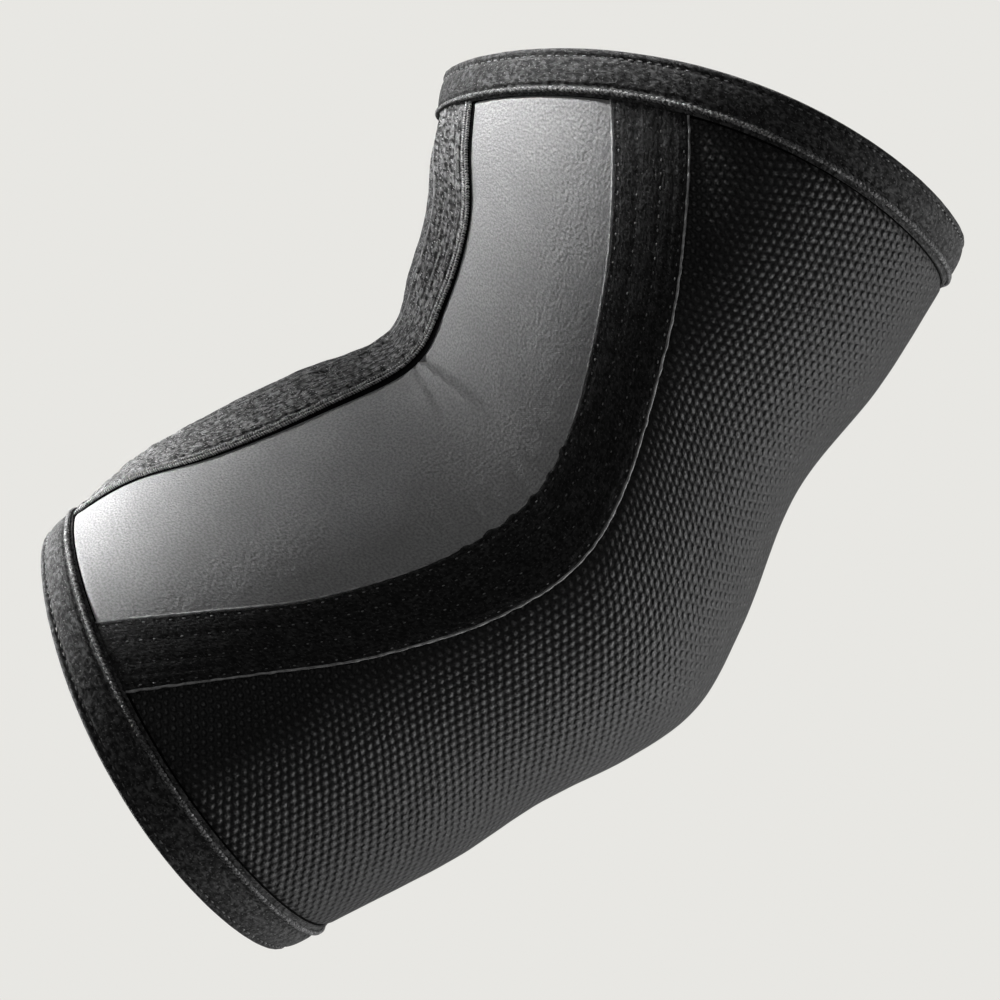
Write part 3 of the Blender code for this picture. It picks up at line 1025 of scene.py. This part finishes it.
def add_crook_edge(side, sign, raw):
    """The pale edge along the inner side of a crook tape, in scallops between the folds."""
    station = even_stations(TAPE_START, TAPE_STOP, 0.6 * MM, TAPE_INNER)
    lane = np.full(len(station), float(TAPE_INNER))
    for place, _ in DIMPLES:
        lane = lane + 0.3 * bell(station - place, 0.08)
    lane = lane - 0.1 * bell(station - 4.6, 0.6)
    folds = crook_folds(station, sign * lane)
    path = wall(station, sign * lane, folds - 0.62 * MM)
    path[:, 2] = np.maximum(path[:, 2], 0.3 * MM)
    return tube(f"{side}_crook_tape_edge", path, 0.22 * MM, raw)


# ---------------------------------------------------------------- hems

def hem_columns(hem_station, step):
    """Columns round the whole sleeve, one step of cloth apart, without the first again at the end."""
    fine = np.linspace(-OUTER_LINE, OUTER_LINE, 2400)
    run = lengths(wall(hem_station, fine))
    count = round(run[-1] / step)
    return np.interp(np.linspace(0, run[-1], count, endpoint=False), run, fine), run[-1] / count


def hem_point(hem_station, direction, column, from_rim, inset):
    """Points of a hem by their distance from the rim."""
    return wall(hem_station + direction * from_rim / BINDING_DEPTH, column, inset)


def welt_height(from_rim, run):
    """The outer leg's relief: a stitched valley, a pierced valley, and a bed for the welt's cord."""
    stitched = 0.36 + 0.10 * np.cos(2 * math.pi * run / HEM_PITCH)
    pierced = 0.3 + 0.3 * np.maximum(np.cos(2 * math.pi * run / HEM_PITCH), 0.0) ** 2
    height = -stitched * MM * bell(from_rim - HEM_ROW, 0.45 * MM)
    height -= pierced * MM * bell(from_rim - WELT_ROW, 0.32 * MM)
    height += 0.18 * MM * bell(from_rim - 5.9 * MM, 1.9 * MM)
    return height - 0.6 * MM * smooth_step(9.0 * MM, 10.1 * MM, from_rim)


def outer_leg(run, waves):
    """Distances from the rim and insets of a binding's outer leg, from its lower edge to the rim."""
    welt = np.linspace(10.35, 8.0, 16) * MM
    upper = np.linspace(8.0, 1.9, 18)[1:] * MM
    reach = np.concatenate([welt, upper])[None, :]
    return reach, -BINDING_TOP - welt_height(reach, run) + waves * smooth_step(9.5 * MM, 7 * MM, reach)


def rim_turn(waves):
    """The same where the cloth turns round the end of the wall."""
    turn = np.linspace(0, math.pi, 19)[1:-1]
    half = WALL / 2 + BINDING_TOP
    reach = 1.9 * MM * (1 - np.sin(turn) ** 0.8)[None, :]
    return reach, WALL / 2 - (half - waves) * np.cos(turn)[None, :]


def inner_leg(run):
    """The same down the inner leg, with its stitched valley and its edge pressed down."""
    reach = np.linspace(1.9, 10.0, 22)[None, :] * MM
    stitched = 0.22 + 0.08 * np.cos(2 * math.pi * run / HEM_PITCH)
    inset = WALL + BINDING_TOP + 0 * run + 0.12 * MM * bell(reach - 6 * MM, 2.2 * MM)
    inset = inset - stitched * MM * bell(reach - HEM_ROW, 0.5 * MM)
    return reach, inset - 0.6 * MM * smooth_step(9.5 * MM, 10.0 * MM, reach) ** 2


def side_by_side(parts, count):
    """Several parts of a profile as one, each spread over the same count of rings."""
    return np.concatenate([np.broadcast_to(part, (count, part.shape[1])) for part in parts], 1)


def add_binding(name, hem_station, direction, cloth, shade_strip, stitches, cord):
    """A strip of knit tape folded round a hem: outer leg, rim and inner leg, with its rows of sewing."""
    column, step = hem_columns(hem_station, 0.5 * MM)
    run = (np.arange(len(column)) * step)[:, None]
    waves = 0.10 * MM * ripple(0.0, run, 16 * MM, 121) + 0.05 * MM * ripple(0.0, run, 5 * MM, 122)
    shown = [outer_leg(run, waves), rim_turn(waves), inner_leg(run)]
    back = np.array(BINDING_BACK).T[:, None, :] * MM
    reach, inset = (side_by_side(parts, len(column)) for parts in zip(*shown, back))
    rings = hem_point(hem_station, direction, column[:, None], reach, inset)
    around = np.arange(len(column) + 1)[:, None] * step
    across = lengths(rings, 1).mean(0)
    across = np.append(across, across[-1] + 0.5 * MM)[None, :]
    uv = np.stack(np.broadcast_arrays(across, around), -1)
    binding = loft(f"{name}_cloth", rings, uv, cloth, closed=True)
    last_shown = sum(part.shape[1] for part, _ in shown) - 1
    binding["flat_width"] = float(across[0, last_shown])
    binding["flat_length"] = float(around[-1, 0])
    sewn = add_hem_stitches(name, hem_station, direction, stitches)
    welt_cord = add_welt_cord(name, hem_station, direction, cord)
    groove_shade = add_underlay(name, hem_station, direction, column, shade_strip)
    body = FOREARM if direction > 0 else UPPER
    cloth_piece(binding, [name])
    for piece in (binding, sewn, welt_cord, groove_shade):
        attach(piece, body)


def hem_row_places(hem_station, direction, from_rim, inset, pitch=HEM_PITCH):
    """Places one pitch apart round a hem, on its outer or inner leg."""
    column, _ = hem_columns(hem_station, 0.5 * MM)
    column = np.concatenate([column, column[:1] + 2 * OUTER_LINE])
    wrapped = np.where(column > OUTER_LINE, column - 2 * OUTER_LINE, column)
    path = hem_point(hem_station, direction, wrapped, from_rim, inset)
    above = hem_point(hem_station, direction, wrapped, from_rim, inset - 0.5 * MM)
    return every([path, *path_frame(path, above)], pitch)


def add_welt_cord(name, hem_station, direction, cord):
    """The overcast cord along a binding's lower edge: slanting strands that lie side by side."""
    centre, along, across, out = hem_row_places(hem_station, direction, WELT_CORD, -1.4 * MM, WELT_PITCH)
    slanted = 0.86 * along + 0.5 * direction * across
    size = (0.9 * MM, 0.46 * MM, 0.5 * MM)
    side = np.cross(out, slanted)
    return scatter(f"{name}_welt_cord", bead_shape(), [centre, slanted, side, out], size, cord)


def add_hem_stitches(name, hem_station, direction, stitches):
    """The row of stitches through both legs of a binding."""
    outside = hem_row_places(hem_station, direction, HEM_ROW, -BINDING_TOP + 0.22 * MM)
    inside = hem_row_places(hem_station, direction, HEM_ROW, WALL + BINDING_TOP - 0.1 * MM)
    inside[3] = -inside[3]
    return scatter(
        f"{name}_stitches", bead_shape(), gather_places(outside, inside),
        (0.55 * MM, 0.17 * MM, 0.17 * MM), stitches, dip=0.1 * MM,
    )


def add_underlay(name, hem_station, direction, column, shade_strip):
    """A near-black strip past a binding's welt, standing in for the shade in the groove there: painted
    shade.
    """
    reach = np.array([9.6, 10.2, 10.6, 10.65, 10.3, 9.6])[None, :] * MM
    inset = np.array([-0.3, -0.2, -0.12, -0.03, -0.03, -0.03])[None, :] * MM
    rings = hem_point(hem_station, direction, column[:, None], reach, inset)
    around = np.linspace(0, 0.3, len(column) + 1)[:, None]
    across = np.linspace(0, 3.6, 7)[None, :] * MM
    uv = np.stack(np.broadcast_arrays(across, around), -1)
    return loft(f"{name}_underlay", rings, uv, shade_strip, closed=True)


# ---------------------------------------------------------------- inside seams

def add_inside_seam(name, column, stitches):
    """A zigzag of thread over a seam of the lining."""
    station = even_stations(WALL_START + 0.9, WALL_STOP - 0.9, 0.8 * MM, abs(column))
    centre, along, across, out = every(line_frame(station, float(column), WALL + 0.12 * MM), 1.6 * MM)
    way = np.where(np.arange(len(centre)) % 2 == 0, 1.0, -1.0)[:, None]
    slanted = 0.45 * along + 0.9 * way * across
    slanted /= np.linalg.norm(slanted, axis=1)[:, None]
    side = np.cross(-out, slanted)
    size = (1.75 * MM, 0.16 * MM, 0.14 * MM)
    piece = scatter(name, bead_shape(), [centre, slanted, side, -out], size, stitches, dip=0.12 * MM)
    return bend(piece)


# ---------------------------------------------------------------- stage

def add_light(name, place, target, size, energy, spread):
    """A soft box at a place, turned to a target, that the camera doesn't see. Its spread is in degrees."""
    light = bpy.data.lights.new(name, "AREA")
    light.shape = "RECTANGLE"
    light.size, light.size_y = size
    light.energy = energy
    light.spread = math.radians(spread)
    lamp = bpy.data.objects.new(name, light)
    lamp.location = place
    heading = np.array(target, float) - np.array(place, float)
    level = math.hypot(heading[0], heading[1])
    lamp.rotation_euler = (math.atan2(level, -heading[2]), 0.0, math.atan2(-heading[0], heading[1]))
    lamp.visible_camera = False
    bpy.context.scene.collection.objects.link(lamp)


def camera_only(tree, seen, cast):
    """A light level that differs for what the camera sees and for what it casts."""
    path = tree.nodes.new("ShaderNodeLightPath")
    mix = tree.nodes.new("ShaderNodeMix")
    mix.data_type = "RGBA"
    mix.inputs[6].default_value = colour(cast)
    mix.inputs[7].default_value = colour(seen)
    tree.links.new(path.outputs["Is Camera Ray"], mix.inputs["Factor"])
    return mix.outputs[2]


def add_floor():
    """A plain pale floor that glows softly, so that the sleeve casts no hard shadow on it."""
    bpy.ops.mesh.primitive_plane_add(size=12.0, location=(0.0, 0.0, -0.3 * MM))
    floor = bpy.context.object
    floor.name = "floor"
    material = bpy.data.materials.new("pale_floor")
    material.use_nodes = True
    tree = material.node_tree
    tree.nodes.remove(tree.nodes["Principled BSDF"])
    glow = tree.nodes.new("ShaderNodeEmission")
    tree.links.new(camera_only(tree, FLOOR_SEEN, FLOOR_CAST), glow.inputs["Color"])
    tree.links.new(glow.outputs[0], tree.nodes["Material Output"].inputs["Surface"])
    floor.data.materials.append(material)


def add_world():
    world = bpy.data.worlds.new("studio")
    world.use_nodes = True
    tree = world.node_tree
    background = tree.nodes["Background"]
    tree.links.new(camera_only(tree, FLOOR_SEEN, WORLD_CAST), background.inputs["Color"])
    bpy.context.scene.world = world


def add_camera():
    """Straight above the sleeve, with the upper arm running to the top right of the picture."""
    data = bpy.data.cameras.new("camera")
    data.sensor_width = SENSOR_WIDTH
    data.lens = SENSOR_WIDTH * CAMERA_DISTANCE / VIEW_WIDTH
    camera = bpy.data.objects.new("camera", data)
    camera.location = (-OUTLINE_MIDDLE[0] * MM, -OUTLINE_MIDDLE[1] * MM, MIDDLE_HEIGHT + CAMERA_DISTANCE)
    camera.rotation_euler = (0.0, 0.0, -math.pi / 4)
    bpy.context.scene.collection.objects.link(camera)
    bpy.context.scene.camera = camera


def add_stage():
    add_floor()
    add_world()
    for name, light in LIGHTS.items():
        add_light(name, *light)
    add_camera()
    view = bpy.context.scene.view_settings
    view.view_transform = "Standard"
    view.look = "None"


# ---------------------------------------------------------------- the sleeve

def add_sleeve():
    hem = heather_knit("hem_knit", 0.018, 0.11, 0.17, grain=0.75 * MM)
    # Painted sheen on the seam tape: pale streaks from 160 mm along it to the upper hem, full from 195 mm.
    painted_sheen = ((160 * MM, 195 * MM),)
    seam_tape = heather_knit("seam_tape_knit", 0.011, 0.05, 0.085, rib=0.05, sheen=0.06, painted_sheen=painted_sheen)
    # Painted light: the crook tapes and gusset are the same charcoal knit as the seam tape, coloured far
    # lighter to stand in for the light on the crook side.
    crook = heather_knit("crook_knit_painted_light", 0.03, 0.4, 0.6, rib=0.3, grain=0.75 * MM)
    welt = heather_knit("welt_knit", 0.05, 0.34, 0.5, grain=0.45 * MM)
    # Painted shade: near-black cloth for the strips standing in for the shade in the grooves.
    shade_strip = painted_shade_strip()
    stitches = thread("grey_thread", 0.06, 0.34)
    wraps = thread("pale_thread", 0.14, 0.7)
    raw = thread("raw_edge", 0.13, 0.55)
    lining, foam = lining_jersey(), foam_rubber()
    jersey = grey_jersey()
    faces = {
        "crook_gusset": (crook, "charcoal_knit"),
        "left_side_panel": (jersey, "grey_jersey"),
        "right_side_panel": (jersey, "grey_jersey"),
        "outer_panel": (honeycomb_mesh(), "black_mesh"),
    }
    for name, (cloth, slot) in faces.items():
        add_face(name, cloth)
        add_foam(name, foam)
        add_lining(name, lining)
    for side in ("left", "right"):
        add_outer_tape(side, seam_tape, stitches, raw)
        add_crook_tape(side, crook, shade_strip, stitches, wraps, raw)
    add_binding("forearm_hem_binding", 0, 1, hem, shade_strip, stitches, welt)
    add_binding("upper_hem_binding", LAST_STATION, -1, hem, shade_strip, stitches, welt)
    for side, sign in (("left", 1), ("right", -1)):
        add_inside_seam(f"{side}_crook_inside_seam", sign * CROOK_SEAM, stitches)
        add_inside_seam(f"{side}_outer_inside_seam", sign * OUTER_SEAM, stitches)


add_stage()
add_sleeve()
